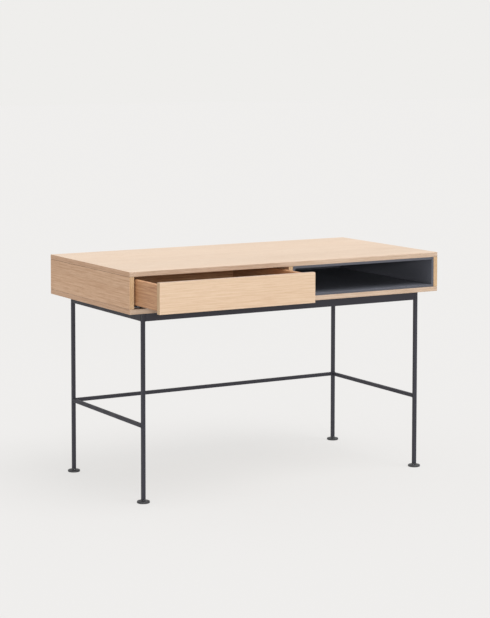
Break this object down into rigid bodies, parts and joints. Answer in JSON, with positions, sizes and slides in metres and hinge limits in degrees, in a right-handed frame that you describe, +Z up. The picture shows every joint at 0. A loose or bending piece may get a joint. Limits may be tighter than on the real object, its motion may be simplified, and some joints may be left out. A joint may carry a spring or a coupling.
{
  "type": "writing desk with drawer",
  "caption": "Low rectangular writing desk with a handleless push-to-open drawer beside an open dark-lined niche, on a slim square-bar steel frame with levelling feet.",
  "frame": {"origin": "on the floor, at the middle of the desk's plan outline with the drawer standing open as at rest", "axes": "+X along the desk, left to right as a sitter sees it; +Y from the drawer to the back; +Z up"},
  "size_m": [1.2, 0.768, 0.756],
  "materials": {
    "oak_veneer": "matt lacquered oak veneer",
    "drawer_oak": "oiled oak",
    "dark_lacquer": "matt dark lacquer",
    "powder_coat": "fine-textured powder coat",
    "zinc_steel": "bright zinc plate",
    "dark_plastic": "moulded matt",
    "grey_plastic": "moulded matt"
  },
  "bodies": {
    "desk": {"desk_top": "oak_veneer", "case_bottom": "oak_veneer", "side_left": "oak_veneer", "side_right": "oak_veneer", "centre_divider": "oak_veneer", "back_panel": "oak_veneer", "niche_top": "dark_lacquer", "niche_floor": "dark_lacquer", "niche_left": "dark_lacquer", "niche_right": "dark_lacquer", "niche_back": "dark_lacquer", "runner_cabinet_left": "zinc_steel", "runner_screw_left_1": "zinc_steel", "runner_screw_left_2": "zinc_steel", "runner_cabinet_right": "zinc_steel", "runner_screw_right_1": "zinc_steel", "runner_screw_right_2": "zinc_steel", "latch_housing": "dark_plastic", "rail_front": "powder_coat", "rail_back": "powder_coat", "stretcher_back": "powder_coat", "rail_left": "powder_coat", "stretcher_left": "powder_coat", "rail_right": "powder_coat", "stretcher_right": "powder_coat", "leg_front_left": "powder_coat", "leg_front_right": "powder_coat", "leg_back_left": "powder_coat", "leg_back_right": "powder_coat", "frame_plate_front_left": "powder_coat", "frame_screw_front_left": "zinc_steel", "frame_plate_front_right": "powder_coat", "frame_screw_front_right": "zinc_steel", "frame_plate_back_left": "powder_coat", "frame_screw_back_left": "zinc_steel", "frame_plate_back_right": "powder_coat", "frame_screw_back_right": "zinc_steel", "leg_plug_front_left": "dark_plastic", "leg_plug_front_right": "dark_plastic", "leg_plug_back_left": "dark_plastic", "leg_plug_back_right": "dark_plastic"},
    "drawer": {"drawer_front": "oak_veneer", "drawer_side_left": "drawer_oak", "drawer_side_right": "drawer_oak", "drawer_inner_front": "drawer_oak", "drawer_back": "drawer_oak", "drawer_bottom": "drawer_oak", "runner_drawer_left": "zinc_steel", "runner_clip_left": "grey_plastic", "runner_drawer_right": "zinc_steel", "runner_clip_right": "grey_plastic"},
    "middle_runner_left": {"runner_middle_left": "zinc_steel"},
    "middle_runner_right": {"runner_middle_right": "zinc_steel"},
    "plunger": {"latch_plunger": "grey_plastic"},
    "foot_front_left": {"foot_front_left": "dark_plastic"},
    "foot_front_right": {"foot_front_right": "dark_plastic"},
    "foot_back_left": {"foot_back_left": "dark_plastic"},
    "foot_back_right": {"foot_back_right": "dark_plastic"}
  },
  "joints": [
    {"name": "drawer_slide", "type": "slide", "parent": "desk", "child": "drawer", "axis": [0, -1, 0], "range_m": [-0.171, 0.282]},
    {"name": "runner_left_slide", "type": "slide", "parent": "desk", "child": "middle_runner_left", "axis": [0, -1, 0], "range_m": [-0.0856, 0.1411]},
    {"name": "runner_right_slide", "type": "slide", "parent": "desk", "child": "middle_runner_right", "axis": [0, -1, 0], "range_m": [-0.0856, 0.1411]},
    {"name": "latch_push", "type": "slide", "parent": "desk", "child": "plunger", "axis": [0, 1, 0], "range_m": [0, 0.003], "stiffness_N_per_m": 300},
    {"name": "foot_front_left_level", "type": "slide", "parent": "desk", "child": "foot_front_left", "axis": [0, 0, -1], "range_m": [0, 0.01]},
    {"name": "foot_front_right_level", "type": "slide", "parent": "desk", "child": "foot_front_right", "axis": [0, 0, -1], "range_m": [0, 0.01]},
    {"name": "foot_back_left_level", "type": "slide", "parent": "desk", "child": "foot_back_left", "axis": [0, 0, -1], "range_m": [0, 0.01]},
    {"name": "foot_back_right_level", "type": "slide", "parent": "desk", "child": "foot_back_right", "axis": [0, 0, -1], "range_m": [0, 0.01]}
  ],
  "couplings": [
    {"joint": "runner_left_slide", "follows": "drawer_slide", "ratio": 0.5},
    {"joint": "runner_right_slide", "follows": "drawer_slide", "ratio": 0.5}
  ]
}
